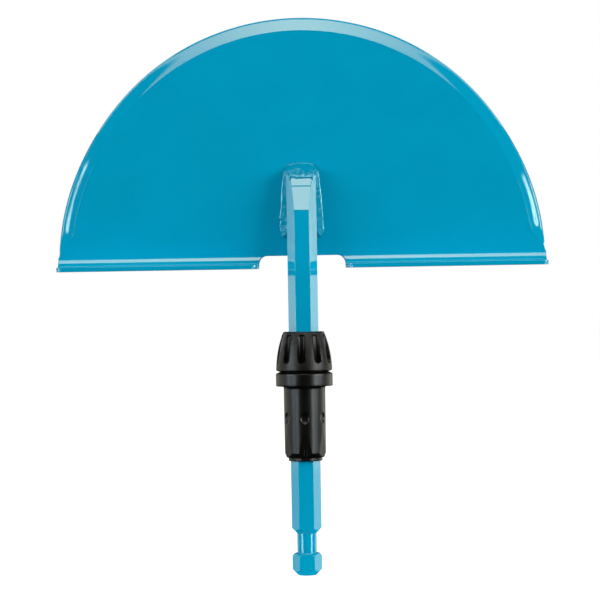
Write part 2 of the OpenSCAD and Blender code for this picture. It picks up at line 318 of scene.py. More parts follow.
def scuff_tops(tree, shader, extra):
    """Makes faces that look straight up duller, where boots and dust rub the coat."""
    coords = tree.nodes.new("ShaderNodeTexCoord")
    parts = tree.nodes.new("ShaderNodeSeparateXYZ")
    spread = tree.nodes.new("ShaderNodeMapRange")
    spread.inputs["From Min"].default_value = 0.9
    spread.inputs["From Max"].default_value = 0.99
    spread.inputs["To Max"].default_value = extra
    total = tree.nodes.new("ShaderNodeMath")
    total.operation = "ADD"
    plain = shader.inputs["Roughness"].links[0].from_socket
    tree.links.new(coords.outputs["Normal"], parts.inputs["Vector"])
    tree.links.new(parts.outputs["Z"], spread.inputs["Value"])
    tree.links.new(spread.outputs["Result"], total.inputs[0])
    tree.links.new(plain, total.inputs[1])
    tree.links.new(total.outputs["Value"], shader.inputs["Roughness"])


def vary_colour(tree, shader, texture, dark, light):
    ramp = tree.nodes.new("ShaderNodeValToRGB")
    ramp.color_ramp.elements[0].position = 0.35
    ramp.color_ramp.elements[0].color = (*dark, 1.0)
    ramp.color_ramp.elements[1].position = 0.65
    ramp.color_ramp.elements[1].color = (*light, 1.0)
    tree.links.new(texture.outputs["Fac"], ramp.inputs["Fac"])
    tree.links.new(ramp.outputs["Color"], shader.inputs["Base Color"])


def add_bump(tree, shader, texture, strength, distance):
    bump = tree.nodes.new("ShaderNodeBump")
    bump.inputs["Strength"].default_value = strength
    bump.inputs["Distance"].default_value = distance
    tree.links.new(texture.outputs["Fac"], bump.inputs["Height"])
    tree.links.new(bump.outputs["Normal"], shader.inputs["Normal"])


def paint_material(name, dark, light, tint, peel):
    """Glossy powder coat with a faint orange peel and slightly uneven colour."""
    material, tree, shader = shader_tree(name)
    shader.inputs["IOR"].default_value = 2.0
    shader.inputs["Specular Tint"].default_value = (*tint, 1.0)
    vary_colour(tree, shader, noise(tree, 45.0, 3.0), dark, light)
    vary_roughness(tree, shader, noise(tree, 220.0, 2.0), 0.03, 0.06)
    scuff_tops(tree, shader, 0.45)
    add_bump(tree, shader, noise(tree, 420.0, 2.0), peel, 0.0002)
    return material


def plastic_material(name, dark, light, low, high, grain):
    """Moulded plastic with a roughness between low and high and a fine eroded grain."""
    material, tree, shader = shader_tree(name)
    shader.inputs["IOR"].default_value = 1.5
    vary_colour(tree, shader, noise(tree, 160.0, 4.0), dark, light)
    vary_roughness(tree, shader, noise(tree, 350.0, 3.0), low, high)
    add_bump(tree, shader, noise(tree, 5000.0, 2.0), grain, 0.000015)
    return material


# Painted shade deep in the nut's flutes: the shine fades out between these depths below the side
DULL_DEPTH = 2.1
SHINY_DEPTH = 0.8
DULL_SHINE = 0.05
FULL_SHINE = 0.5


def painted_flute_shade(tree, shader):
    """Painted shade: takes the shine off the depth of the nut's flutes, more the deeper they lie below its
    side, so they darken as shade would darken them.
    """
    coords = tree.nodes.new("ShaderNodeTexCoord")
    level = tree.nodes.new("ShaderNodeVectorMath")
    level.operation = "MULTIPLY"
    level.inputs[1].default_value = (1.0, 1.0, 0.0)
    radius = tree.nodes.new("ShaderNodeVectorMath")
    radius.operation = "LENGTH"
    parts = tree.nodes.new("ShaderNodeSeparateXYZ")
    rise = tree.nodes.new("ShaderNodeMath")
    rise.operation = "SUBTRACT"
    rise.inputs[1].default_value = NUT_FOOT * MM
    square = tree.nodes.new("ShaderNodeMath")
    square.operation = "MULTIPLY"
    taper = tree.nodes.new("ShaderNodeMath")
    taper.operation = "MULTIPLY"
    taper.inputs[1].default_value = 0.5 / (NUT_SIDE_RADIUS * MM)
    total = tree.nodes.new("ShaderNodeMath")
    total.operation = "ADD"
    shine = tree.nodes.new("ShaderNodeMapRange")
    shine.inputs["From Min"].default_value = (NUT_RADIUS - DULL_DEPTH) * MM
    shine.inputs["From Max"].default_value = (NUT_RADIUS - SHINY_DEPTH) * MM
    shine.inputs["To Min"].default_value = DULL_SHINE
    shine.inputs["To Max"].default_value = FULL_SHINE
    tree.links.new(coords.outputs["Object"], level.inputs[0])
    tree.links.new(level.outputs["Vector"], radius.inputs[0])
    tree.links.new(coords.outputs["Object"], parts.inputs["Vector"])
    tree.links.new(parts.outputs["Z"], rise.inputs[0])
    tree.links.new(rise.outputs["Value"], square.inputs[0])
    tree.links.new(rise.outputs["Value"], square.inputs[1])
    tree.links.new(square.outputs["Value"], taper.inputs[0])
    tree.links.new(radius.outputs["Value"], total.inputs[0])
    tree.links.new(taper.outputs["Value"], total.inputs[1])
    tree.links.new(total.outputs["Value"], shine.inputs["Value"])
    tree.links.new(shine.outputs["Result"], shader.inputs["Specular IOR Level"])


def floor_material():
    material, tree, shader = shader_tree("pale_floor")
    shader.inputs["Roughness"].default_value = 0.9
    shader.inputs["Specular IOR Level"].default_value = 0.0
    shader.inputs["Emission Color"].default_value = (1.0, 1.0, 1.0, 1.0)
    shader.inputs["Emission Strength"].default_value = 1.0
    vary_colour(tree, shader, noise(tree, 6.0, 2.0), (0.8, 0.8, 0.8), (0.83, 0.83, 0.83))
    return material


PAINT_DARK = (0.0, 0.388, 0.652)
PAINT_LIGHT = (0.0, 0.402, 0.676)
PAINT_SHINE = (1.0, 0.93, 0.64)
# The welds' coat is a darker copy of the blade's coat: painted shade for the shadow beside the bar
WELD_SHADED_DARK = (0.0, 0.29, 0.49)
WELD_SHADED_LIGHT = (0.0, 0.32, 0.54)
WELD_SHINE = (0.5, 1.0, 1.0)
BLACK_DARK = (0.0019, 0.0019, 0.0012)
BLACK_LIGHT = (0.0026, 0.0026, 0.0018)
GREY_DARK = (0.25, 0.25, 0.26)
GREY_LIGHT = (0.32, 0.32, 0.33)
paint = paint_material("turquoise_coat", PAINT_DARK, PAINT_LIGHT, PAINT_SHINE, 0.015)
# Painted shade: the welds wear a darker copy of the blade's coat
shaded_weld_paint = paint_material("turquoise_coat_on_weld_with_painted_shade", WELD_SHADED_DARK, WELD_SHADED_LIGHT, WELD_SHINE, 0.03)
sleeve_plastic = plastic_material("black_moulding", BLACK_DARK, BLACK_LIGHT, 0.28, 0.31, 0.035)
nut_plastic = plastic_material("black_nut_moulding", BLACK_DARK, BLACK_LIGHT, 0.36, 0.44, 0.5)
# Painted shade in the depths of the nut's flutes
painted_flute_shade(nut_plastic.node_tree, nut_plastic.node_tree.nodes["Principled BSDF"])
ring_plastic = plastic_material("grey_moulding", GREY_DARK, GREY_LIGHT, 0.35, 0.5, 0.8)


# Blade: one sheet drawn flat, with its bevel and rounded edges, then folded along its treads

def folded(x, t, h):
    """Place of a point of the flat sheet after folding: t up the sheet from the fold, h above its back."""
    radius = FOLD_INNER + SHEET - h
    if t >= 0.0:
        return Vector((x, BLADE_BACK - h, FOLD_START + t))
    if t >= -FOLD_LENGTH:
        turn = -t / FOLD_MIDDLE
        return Vector((x, FOLD_CENTRE_Y + radius * math.cos(turn), FOLD_START - radius * math.sin(turn)))
    return Vector((x, FOLD_CENTRE_Y + FOLD_LENGTH + t, FOLD_START - radius))


def flat_height(z):
    """Height on the flat sheet of a point at height z on or above the fold."""
    if z >= FOLD_START:
        return z - FOLD_START
    return -FOLD_MIDDLE * math.asin((FOLD_START - z) / FOLD_MIDDLE)


def dressed_radius(turn):
    """Radius of the rim at an angle in degrees up from its side, a little less at its shoulders."""
    return RIM_RADIUS - DRESSED_DEPTH * math.exp(-((turn - DRESSED_ANGLE) / DRESSED_SPREAD) ** 2)


def right_outline():
    """Right half of the flat sheet's outline, from the middle of the notch round to the top of the rim."""
    notch_inner = NOTCH_HALF - NOTCH_CORNER
    points = [(notch_inner / 2.0, flat_height(NOTCH_TOP))]
    for x, z in arc(notch_inner, NOTCH_TOP - NOTCH_CORNER, NOTCH_CORNER, 90.0, 0.0, 12):
        points.append((x, flat_height(z)))
    inner = TREAD_INNER_CORNER
    outer = TREAD_OUTER_CORNER
    points += arc(NOTCH_HALF + inner, SHEET_FOOT + inner, inner, 180.0, 270.0, 12)
    points += arc(TREAD_HALF - outer, SHEET_FOOT + outer, outer, 270.0, 360.0, 10)
    points.append((TREAD_HALF, TREAD_END_FOOT))
    points.append((TREAD_HALF, TREAD_END_TOP))
    low = DISC_CENTRE - FOLD_START
    start = math.degrees(math.asin((RIM_FOOT - low) / RIM_RADIUS))
    for k in range(RIM_STEPS + 1):
        turn = mix(start, RIM_END_ANGLE, k / RIM_STEPS)
        angle = math.radians(turn)
        radius = dressed_radius(turn)
        points.append((radius * math.cos(angle), low + radius * math.sin(angle)))
    return points


def bevel_share(t):
    """How much of the ground bevel is left at this height on the rim: it runs out just above the fold."""
    return smooth_step(BEVEL_RUNOUT_FOOT, BEVEL_RUNOUT_TOP, t)


def ground_rise(d):
    """Rise of the ground front between the rim and distance d, flattest near the middle of its width."""
    away = d - BEVEL_MIDDLE
    curve = BEVEL_HOLLOW_INSIDE if away > 0.0 else BEVEL_HOLLOW_OUTSIDE
    return BEVEL_SLOPE * d + curve * away ** 3 / 3.0


def ground_height(d):
    """Height of the front above the back at distance d in from the rim, with its small edge chamfer."""
    if d < RIM_EDGE:
        return mix(RIM_LAND, ground_height(RIM_EDGE), d / RIM_EDGE)
    return smooth_min(SHEET, SHEET - ground_rise(BEVEL_WIDTH) + ground_rise(d), BEVEL_BLEND)


# Distances in from the rim, closest where the front bends
EDGE_STEPS = [0.0, 0.05, 0.15, 0.3, 0.5, 0.7, 0.8, 0.9, 1.05]
BEVEL_STEPS = [1.4, 2.0, 2.8, 3.6, 4.4, 5.1]
FACE_STEPS = [5.5, 5.75, 5.95, 6.1, 6.3, 6.6, 7.4]
GROUND_STEPS = EDGE_STEPS + BEVEL_STEPS + FACE_STEPS

# On a plain edge most rows of the front go round the corner, and the rest run in across the face
ROUND_ROWS = 0.8
FACE_ROWS = 0.2
FACE_REACH = 0.3

# How much faster the rows climb the sheet's side than they go round its corner
SIDE_PACE = 6.0


def front_profile(k):
    """Distance from the edge and height of front row k, once for a plain edge and once for the ground rim."""
    last = len(GROUND_STEPS) - 1
    share = clamp01(k / (ROUND_ROWS * last))
    turn = share * math.pi / 2.0
    on_face = clamp01((k - ROUND_ROWS * last) / (FACE_ROWS * last))
    plain_d = EDGE_ROUND * (1.0 - math.cos(turn)) + FACE_REACH * on_face
    side = (SHEET / 2.0 - EDGE_ROUND) * min(1.0, SIDE_PACE * share)
    plain_h = min(SHEET, SHEET / 2.0 + side + EDGE_ROUND * math.sin(turn))
    d = GROUND_STEPS[k]
    return (plain_d, plain_h), (d, ground_height(d))


def back_profile(k, last):
    """The same for the rows on the back, from the edge inwards."""
    share = k / last
    turn = share * math.pi / 2.0
    low = (SHEET / 2.0 - EDGE_ROUND) * (1.0 - min(1.0, SIDE_PACE * share))
    plain = (EDGE_ROUND * (1.0 - math.cos(turn)), low + EDGE_ROUND * (1.0 - math.sin(turn)))
    ground = (2.0 * EDGE_ROUND * (1.0 - math.cos(turn)), EDGE_ROUND * (1.0 - math.sin(turn)))
    return plain, ground


def blade_mesh():
    half = right_outline()
    outline = half + [(-x, t) for x, t in reversed(half)]
    count = len(outline)
    back_rows = 7
    profiles = [back_profile(k, back_rows) for k in range(back_rows, 0, -1)]
    profiles += [front_profile(k) for k in range(len(GROUND_STEPS))]
    work = bmesh.new()
    rings = [[] for profile in profiles]
    for i, (x, t) in enumerate(outline):
        before = Vector(outline[i - 1])
        here = Vector((x, t))
        after = Vector(outline[(i + 1) % count])
        way = ((here - before).normalized() + (after - here).normalized()).normalized()
        inward = Vector((-way.y, way.x))
        share = bevel_share(t)
        for ring, (plain, ground) in zip(rings, profiles):
            d = mix(plain[0], ground[0], share)
            h = mix(plain[1], ground[1], share)
            ring.append(work.verts.new((x + inward.x * d, t + inward.y * d, h)))
    for ring, other in zip(rings, rings[1:]):
        for i in range(count):
            j = (i + 1) % count
            work.faces.new((ring[i], ring[j], other[j], other[i]))
    work.faces.new(list(reversed(rings[0])))
    work.faces.new(rings[-1])
    fold_rows = 12
    for k in range(fold_rows + 1):
        everything = work.verts[:] + work.edges[:] + work.faces[:]
        level = (0.0, -FOLD_LENGTH * k / fold_rows, 0.0)
        bmesh.ops.bisect_plane(work, geom=everything, dist=0.00001, plane_co=level, plane_no=(0.0, 1.0, 0.0))
    for vert in work.verts:
        vert.co = folded(*vert.co) * MM
    return work


weighted(finished_object("blade_sheet", blade_mesh(), paint, "head", "blade"))


# Shank: the bar's own faces with the paint's soft edges

TOE_CUT_TILT = math.radians(19.0)
SAW_MARK_HEIGHT = TOE_HEIGHT - 5.4
SAW_MARK_HALF = 0.3
SAW_MARK_DEPTH = 0.2
SAME_PLANE = 0.9998
TURNED_TOP = -64.0
BAR_EDGE_ROUND = 0.22
BAR_CORNER = math.radians(5.0)
TURNED_CORNER = math.radians(22.0)


def mark_toe(work):
    """Presses the saw's shallow cross mark into the slanting cut at the bar's toe."""
    facing = Vector((0.0, -math.cos(TOE_CUT_TILT), math.sin(TOE_CUT_TILT)))
    upward = (0.0, 0.0, 1.0)
    for rise in (SAW_MARK_HALF, 0.0, -SAW_MARK_HALF):
        cut = [face for face in work.faces if face.normal.dot(facing) > SAME_PLANE]
        parts = set(cut)
        for face in cut:
            parts.update(face.edges)
            parts.update(face.verts)
        level = Vector((0.0, 0.0, SAW_MARK_HEIGHT + rise)) * MM
        bmesh.ops.bisect_plane(work, geom=list(parts), dist=0.000001, plane_co=level, plane_no=upward)
        work.normal_update()
    for vert in work.verts:
        if abs(vert.co.z - SAW_MARK_HEIGHT * MM) < 0.02 * MM:
            if any(face.normal.dot(facing) > SAME_PLANE for face in vert.link_faces):
                vert.co -= facing * SAW_MARK_DEPTH * MM
                for edge in vert.link_edges:
                    edge.smooth = False
                for face in vert.link_faces:
                    for edge in face.edges:
                        edge.smooth = False


def bar_mesh():
    """A copy of the bar's faces with its corners rounded and the saw mark at its toe."""
    work = bmesh.new()
    work.from_mesh(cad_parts["shank"].data)
    bmesh.ops.remove_doubles(work, verts=work.verts, dist=0.003 * MM)
    bmesh.ops.dissolve_limit(work, angle_limit=math.radians(0.3), verts=work.verts, edges=work.edges)
    corners = []
    for edge in work.edges:
        turned = (edge.verts[0].co.z + edge.verts[1].co.z) / 2.0 < TURNED_TOP * MM
        if edge.is_manifold and edge.calc_face_angle() > (TURNED_CORNER if turned else BAR_CORNER):
            corners.append(edge)
    for edge in work.edges:
        edge.smooth = True
    bmesh.ops.bevel(
        work,
        geom=corners,
        offset=BAR_EDGE_ROUND * MM,
        offset_type="OFFSET",
        segments=3,
        profile=0.5,
        affect="EDGES",
        clamp_overlap=True
    )
    work.normal_update()
    mark_toe(work)
    return work


weighted(finished_object("shank_bar", bar_mesh(), paint, "head", "shank"))


# Sleeve: plug, flange and threaded spigot

SHARP_ANGLE = math.radians(40.0)
SLEEVE_TURNS = 480
PLUG_STEP = 0.25
FLANGE_STEP = 1.0
SPIGOT_STEP = 0.18


def plug_side(drop):
    """Radius of the plug at a depth below the flange, straight at its seat and slightly drawn in below."""
    return PLUG_RADIUS - PLUG_DRAFT * clamp01((drop - SEAT_DROP) / (TAPER_DROP - SEAT_DROP))


def flat_side(angle, z):
    """Radius of the nearest of six sloping flats below the dimples."""
    inward = (-PLUG_FLATS_DROP - z) * math.tan(PLUG_FLATS_TILT)
    return (plug_side(PLUG_FLATS_DROP) - inward) / math.cos(from_nearest(angle, PLUG_SIDES))


def dimple_depth(angle, z):
    """Depth of the nearest of six oval dimples round the plug."""
    across = PLUG_RADIUS * math.sin(from_nearest(angle, PLUG_SIDES)) / DIMPLE_HALF_WIDE
    along = (z - DIMPLE_HEIGHT) / DIMPLE_HALF_TALL
    inside = 1.0 - across * across - along * along
    return DIMPLE_DEPTH * math.sqrt(max(0.0, inside)) * smooth_step(0.0, 0.25, inside)


def slit_depth(angle, z):
    """Depth of the short slit at the front of the plug's lower end."""
    turn = from_nearest(angle, 1)
    across = abs(PLUG_RADIUS * math.sin(turn))
    if abs(turn) > 0.3:
        return 0.0
    wall = smooth_step(SLIT_HALF_TOP, SLIT_HALF_FLOOR, across)
    return SLIT_DEPTH * wall * smooth_step(SLIT_TOP, SLIT_TOP - SLIT_END, z)


def thread_dip(angle, z):
    """Depth below the crest of a right-hand thread, from 0 to 1."""
    phase = (z / THREAD_PITCH - angle / (2.0 * math.pi)) % 1.0
    return smooth_step(THREAD_CREST, THREAD_ROOT, abs(phase - 0.5))


def sleeve_radius(kind, r, z, angle):
    if kind == "bore":
        return hex_radius(angle, HEX_BORE_FLATS)
    if kind == "thread":
        depth = THREAD_DEPTH * smooth_step(SPIGOT_FOOT + 0.2, SPIGOT_FOOT + 1.2, z)
        return r - depth * thread_dip(angle, z)
    if kind == "plug":
        return smooth_min(r, flat_side(angle, z), 0.05) - dimple_depth(angle, z) - slit_depth(angle, z)
    return r


def kinds(kind, points):
    return [(kind, p[0], p[1]) for p in points]


def sleeve_mesh():
    low_radius = plug_side(TAPER_DROP)
    low = rounded_path([
        (BORE_MOUTH, PLUG_END, 0.0),
        (END_RING_RADIUS, PLUG_END, 0.25),
        (END_RING_RADIUS, PLUG_END + END_RING_HEIGHT, 0.2),
        (low_radius - 0.8, PLUG_END + END_RING_HEIGHT, 0.25),
        (low_radius, -TAPER_DROP, 0.6),
        (PLUG_RADIUS, -SEAT_DROP, 0.0),
        (PLUG_RADIUS, -FILLET_TALL, 0.0)
    ])
    fillet = []
    for k in range(9):
        turn = math.pi / 2.0 * k / 8
        out = FILLET_WIDE * (1.0 - math.cos(turn))
        fillet.append(Vector((PLUG_RADIUS + out, FILLET_TALL * (math.sin(turn) - 1.0))))
    flange = fillet + rounded_path([
        (PLUG_RADIUS + 1.0, 0.0, 0.0),
        (FLANGE_RADIUS, 0.0, 0.45),
        (FLANGE_RADIUS, FLANGE_SHOULDER, 0.35),
        (FLANGE_RADIUS - FLANGE_SLOPE, SPIGOT_FOOT, 0.15),
        (SPIGOT_RADIUS, SPIGOT_FOOT, 0.0)
    ])
    spigot = rounded_path([
        (SPIGOT_RADIUS, SPIGOT_FOOT, 0.0),
        (SPIGOT_RADIUS, SPIGOT_END - SPIGOT_CHAMFER, 0.0),
        (SPIGOT_RADIUS - SPIGOT_CHAMFER, SPIGOT_END, 0.1),
        (BORE_MOUTH, SPIGOT_END, 0.0)
    ])
    rows = kinds("plug", divided(low, PLUG_STEP))
    rows += kinds("flange", divided(flange, FLANGE_STEP)[1:])
    rows += kinds("thread", divided(spigot, SPIGOT_STEP)[1:-1])
    rows += [("bore", 0.0, SPIGOT_END), ("bore", 0.0, PLUG_END)]
    return lathe_mesh(rows, SLEEVE_TURNS, sleeve_radius)


sleeve_solid = sleeve_mesh()
sleeve = finished_object("sleeve_moulding", sleeve_solid, sleeve_plastic, "sleeve", "sleeve")
sleeve.data.set_sharp_from_angle(angle=SHARP_ANGLE)


# Clamp nut with its flutes

NUT_TURNS = 720
NUT_SIDE_STEPS = 110
NUT_THREAD_STEP = 0.25


def nut_outline(z):
    """Radius of the nut's bulging side at a height."""
    rise = z - NUT_FOOT
    return NUT_RADIUS - NUT_SIDE_RADIUS + math.sqrt(NUT_SIDE_RADIUS ** 2 - rise ** 2)


def flute_radius(r, z, angle):
    """Radius of the nearest flute's floor or wall where the nut's side would be at r."""
    share = clamp01((z - FLUTE_FOOT) / (FLUTE_HEAD - FLUTE_FOOT))
    floor = r - mix(FLUTE_FOOT_DEPTH, FLUTE_HEAD_DEPTH, share)
    across = r * math.sin(from_nearest(angle, FLUTE_COUNT, FLUTE_ANGLE))
    half_wide = FLUTE_FLOOR_HALF + FLUTE_ROUND
    along = max(0.0, FLUTE_FOOT + half_wide - z, z - FLUTE_HEAD + half_wide)
    out = max(0.0, math.hypot(across, along) - FLUTE_FLOOR_HALF)
    bend = min(FLUTE_ROUND, out)
    return floor + FLUTE_ROUND - math.sqrt(FLUTE_ROUND ** 2 - bend ** 2) + FLUTE_WALL * (out - bend)


def nut_radius(kind, r, z, angle):
    if kind == "side":
        return smooth_min(r, flute_radius(r, z, angle), FLUTE_EDGE)
    if kind == "thread":
        start = smooth_step(NUT_FOOT + 0.2, NUT_FOOT + 1.2, z)
        end = smooth_step(NUT_THREAD_TOP, NUT_THREAD_TOP - 1.0, z)
        return r + NUT_THREAD_DEPTH * start * end * (1.0 - thread_dip(angle, z))
    return r


def nut_mesh():
    low_z = NUT_FOOT + NUT_CHAMFER_UP
    high_z = NUT_TOP - NUT_SIDE_END
    heights = [mix(low_z, high_z, i / NUT_SIDE_STEPS) for i in range(NUT_SIDE_STEPS + 1)]
    side = [(nut_outline(z), z) for z in heights]
    low = rounded_path([
        (NUT_THREAD_RADIUS, NUT_FOOT, 0.0),
        (NUT_RADIUS - NUT_CHAMFER_IN, NUT_FOOT, 0.2),
        (NUT_RADIUS, low_z, 0.25),
        (*side[4], 0.0)
    ])
    high = rounded_path([
        (*side[-3], 0.0),
        (nut_outline(NUT_TOP), NUT_TOP, 1.1),
        (NUT_BORE, NUT_TOP, 0.35),
        (NUT_BORE, NUT_BORE_FOOT, 0.0)
    ], 8)
    cone = [(NUT_CONE_TOP_RADIUS, NUT_BORE_FOOT), (NUT_CONE_RADIUS, NUT_CONE_FOOT)]
    groove = [(NUT_GROOVE_RADIUS, NUT_CONE_FOOT), (NUT_GROOVE_RADIUS, NUT_GROOVE_FOOT)]
    lip = [(NUT_LIP_RADIUS, NUT_GROOVE_FOOT), (NUT_LIP_RADIUS, NUT_LIP_FOOT)]
    inside = cone + groove + lip + [(NUT_THREAD_RADIUS, NUT_LIP_FOOT)]
    thread_top = Vector((NUT_THREAD_RADIUS, NUT_THREAD_START))
    thread_foot = Vector((NUT_THREAD_RADIUS, NUT_FOOT + 0.05))
    thread = divided([thread_top, thread_foot], NUT_THREAD_STEP)
    rows = kinds("side", low) + kinds("side", side[5:-3]) + kinds("side", high[:-1])
    rows += kinds("inside", [high[-1]] + inside) + kinds("thread", thread)
    return lathe_mesh(rows, NUT_TURNS, nut_radius)


nut_solid = nut_mesh()
nut = finished_object("clamp_nut_moulding", nut_solid, nut_plastic, "clamp_nut", "clamp_nut")
nut.data.set_sharp_from_angle(angle=SHARP_ANGLE)


# Clamp ring: its own solid with a moulded finish

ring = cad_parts["clamp_ring"]
ring.data.materials.clear()
ring.data.materials.append(ring_plastic)


# Weld beads: uneven pads that run up from the blade to the bar

FOOT_INSET = 0.3
FOOT_ROUND = 0.3
LUMPS_START = 0.2
LUMPS_FULL = 1.4


def power(value, exponent):
    """A power that keeps the sign of its value."""
    return math.copysign(abs(value) ** exponent, value)


def lumps(x, z, seed):
    """Uneven swelling of a weld, about 1 high at most."""
    coarse = grain_field.noise(Vector((0.42 * x, 0.42 * z, seed)))
    fine = grain_field.noise(Vector((0.95 * x, 0.95 * z, seed + 7.0)))
    return coarse + 0.45 * fine


def swelling(rise, x, z, seed, inside):
    """Lumps up to about rise high, which start a little way in from the weld's edge."""
    return rise * lumps(x, z, seed) * smooth_step(LUMPS_START, LUMPS_FULL, inside)


def with_foot(height):
    """The same height with its foot on the blade rounded out."""
    return -smooth_min(-height, 0.0, FOOT_ROUND)


def pad_mesh(centre, edge, height):
    """A closed pad on the blade: edge(turn) is its outline, height(x, z, inside) its rise off the blade."""
    around = 240
    rings = 60
    fine = 5
    border = [edge(2.0 * math.pi * m / (around * fine)) for m in range(around * fine)]
    tree = kdtree.KDTree(len(border))
    for m, (x, z) in enumerate(border):
        tree.insert((x, z, 0.0), m)
    tree.balance()
    outline = border[::fine]

    def place(x, z):
        inside = tree.find((x, z, 0.0))[2]
        return Vector((x, BLADE_FRONT - height(x, z, inside), z)) * MM

    work = bmesh.new()
    middle = work.verts.new(place(*centre))
    loops = []
    # The rings lie closer together towards the outline
    for k in range(1, rings + 1):
        share = 1.0 - (1.0 - k / rings) ** 1.5
        inner = [(mix(centre[0], x, share), mix(centre[1], z, share)) for x, z in outline]
        loops.append([work.verts.new(place(x, z)) for x, z in inner])
    loops.append([work.verts.new(Vector((x, BLADE_FRONT + 0.4, z)) * MM) for x, z in outline])
    for m in range(around):
        n = (m + 1) % around
        work.faces.new((middle, loops[0][m], loops[0][n]))
        for loop, other in zip(loops, loops[1:]):
            work.faces.new((loop[m], other[m], other[n], loop[n]))
    work.faces.new(loops[-1])
    return work


def sway(place, pitch, row, seed):
    """Smooth wandering of an edge between about -1 and 1, the same each run."""
    return grain_field.noise(Vector((pitch * place, row, seed)))


# Side welds, where a wall is a slope
SIDE_WALL = 1.05
SIDE_HEIGHT = 4.6
SIDE_LOW_HALF = 4.7
SIDE_HIGH_HALF = 2.2
SIDE_OFFSET = 6.4
SIDE_FOOT_RISE = 0.2
SIDE_PAST_TOE = 4.0
SIDE_SQUARE = 0.5
SIDE_LUMPS = 0.22


def side_weld(side):
    """A fillet up the side of the bar, wide at its lower end and narrow at the toe."""
    low = WELD_FOOT + SIDE_FOOT_RISE
    high = TOE_HEIGHT + SIDE_PAST_TOE
    half = (high - low) / 2.0
    centre = (side * SIDE_OFFSET, low + half)
    seed = 3.0 + 2.0 * side

    def half_width(z):
        return mix(SIDE_LOW_HALF, SIDE_HIGH_HALF, (z - low) / (high - low))

    def edge(turn):
        z = centre[1] + half * power(math.sin(turn), SIDE_SQUARE)
        uneven = 0.55 * sway(z, 0.5, 0.0, seed) + 0.25 * sway(z, 1.3, 5.0, seed)
        return centre[0] + (half_width(z) + uneven) * power(math.cos(turn), SIDE_SQUARE), z

    def height(x, z, inside):
        uneven = swelling(SIDE_LUMPS, x, z, seed, inside)
        return with_foot(smooth_min(SIDE_HEIGHT, SIDE_WALL * (inside - FOOT_INSET) + uneven, 0.8))

    return pad_mesh(centre, edge, height)


# Toe weld: a slope down to the blade, a steep step and a drop on it, and a lip over the bar's cut
TOE_WALL = 1.25
TOE_SIDE_WALL = 3.2
TOE_SIDE_INSET = 0.2
TOE_LIP = 0.5
TOE_LIP_WALL = 0.9
TOE_LAP = 1.9
TOE_FRONT = 4.37
TOE_EDGE_HEIGHT = BLADE_FRONT - TOE_FRONT
TOE_HALF_WIDE = 8.4
TOE_HALF_TALL = 6.7
TOE_SQUARE = 0.6
TOE_CENTRE_DROP = 0.6
TOE_STEP_HEIGHT = 6.2
TOE_STEP_WALL = 3.0
TOE_STEP_RISE = 0.9
TOE_STEP_SWAY = 0.9
TOE_DROP_HEIGHT = 1.1
TOE_DROP_ASIDE = 1.7
TOE_DROP_RISE = 1.9
TOE_DROP_SPREAD = 1.2
TOE_LUMPS = 0.28


def toe_weld():
    """The weld that slopes up from the blade above the bar's toe and laps over its slanting cut."""
    centre = (0.0, TOE_HEIGHT - TOE_CENTRE_DROP)

    def edge(turn):
        x = TOE_HALF_WIDE * power(math.cos(turn), TOE_SQUARE)
        tall = TOE_HALF_TALL + 0.4 * sway(x, 0.6, 2.0, 9.0)
        return x, centre[1] + tall * power(math.sin(turn), TOE_SQUARE)

    def across(share, half):
        return half * (1.0 - min(1.0, abs(share)) ** (2.0 / TOE_SQUARE)) ** (TOE_SQUARE / 2.0)

    def height(x, z, inside):
        up = centre[1] + across(x / TOE_HALF_WIDE, TOE_HALF_TALL) - z
        aside = across(max(0.0, z - centre[1]) / TOE_HALF_TALL, TOE_HALF_WIDE) - abs(x)
        step_top = TOE_HEIGHT + TOE_STEP_RISE + TOE_STEP_SWAY * sway(x, 0.5, 8.0, 3.0)
        step = TOE_STEP_HEIGHT + TOE_STEP_WALL * (step_top - z)
        off_drop = (x + TOE_DROP_ASIDE) ** 2 + (z - TOE_HEIGHT - TOE_DROP_RISE) ** 2
        drop = TOE_DROP_HEIGHT * math.exp(-off_drop / TOE_DROP_SPREAD)
        front = -smooth_min(-TOE_WALL * (up - FOOT_INSET) - drop, -step, 0.3)
        wall = smooth_min(front, TOE_SIDE_WALL * (aside - TOE_SIDE_INSET), 0.8)
        lip_foot = TOE_HEIGHT - TOE_LAP + 0.5 * sway(x, 0.8, 4.0, 2.0)
        bar_front = TOE_EDGE_HEIGHT + math.tan(TOE_CUT_TILT) * (TOE_HEIGHT - z)
        lip = bar_front + smooth_min(TOE_LIP, TOE_LIP_WALL * (z - lip_foot), 0.3)
        uneven = swelling(TOE_LUMPS, x, z, 5.0, inside)
        return with_foot(smooth_min(wall, lip, 0.5) + uneven)

    return pad_mesh(centre, edge, height)


for side, node in ((-1.0, "weld_left"), (1.0, "weld_right")):
    finished_object(node + "_bead", side_weld(side), shaded_weld_paint, "head", node)
finished_object("weld_toe_bead", toe_weld(), shaded_weld_paint, "head", "weld_toe")


# Floor, light and camera

FLOOR_HEIGHT = -0.15
FLOOR_FRONT = -0.06
TARGET = Vector((0.0, 0.0, 0.06))
LIGHT_DISTANCE = 2.5


def make_floor():
    mesh = bpy.data.meshes.new("floor")
    half = 8.0
    corners = [(-half, FLOOR_FRONT), (half, FLOOR_FRONT), (half, 2.0 * half), (-half, 2.0 * half)]
    mesh.from_pydata([(x, y, FLOOR_HEIGHT) for x, y in corners], [], [(0, 1, 2, 3)])
    mesh.materials.append(floor_material())
    obj = bpy.data.objects.new("floor", mesh)
    obj.visible_glossy = False
    bpy.context.scene.collection.objects.link(obj)


def away_from_part(azimuth, elevation):
    """Direction in degrees seen from the part: azimuth 0 is the camera's side, positive to the right."""
    az = math.radians(azimuth)
    el = math.radians(elevation)
    return Vector((math.sin(az) * math.cos(el), -math.cos(az) * math.cos(el), math.sin(el)))


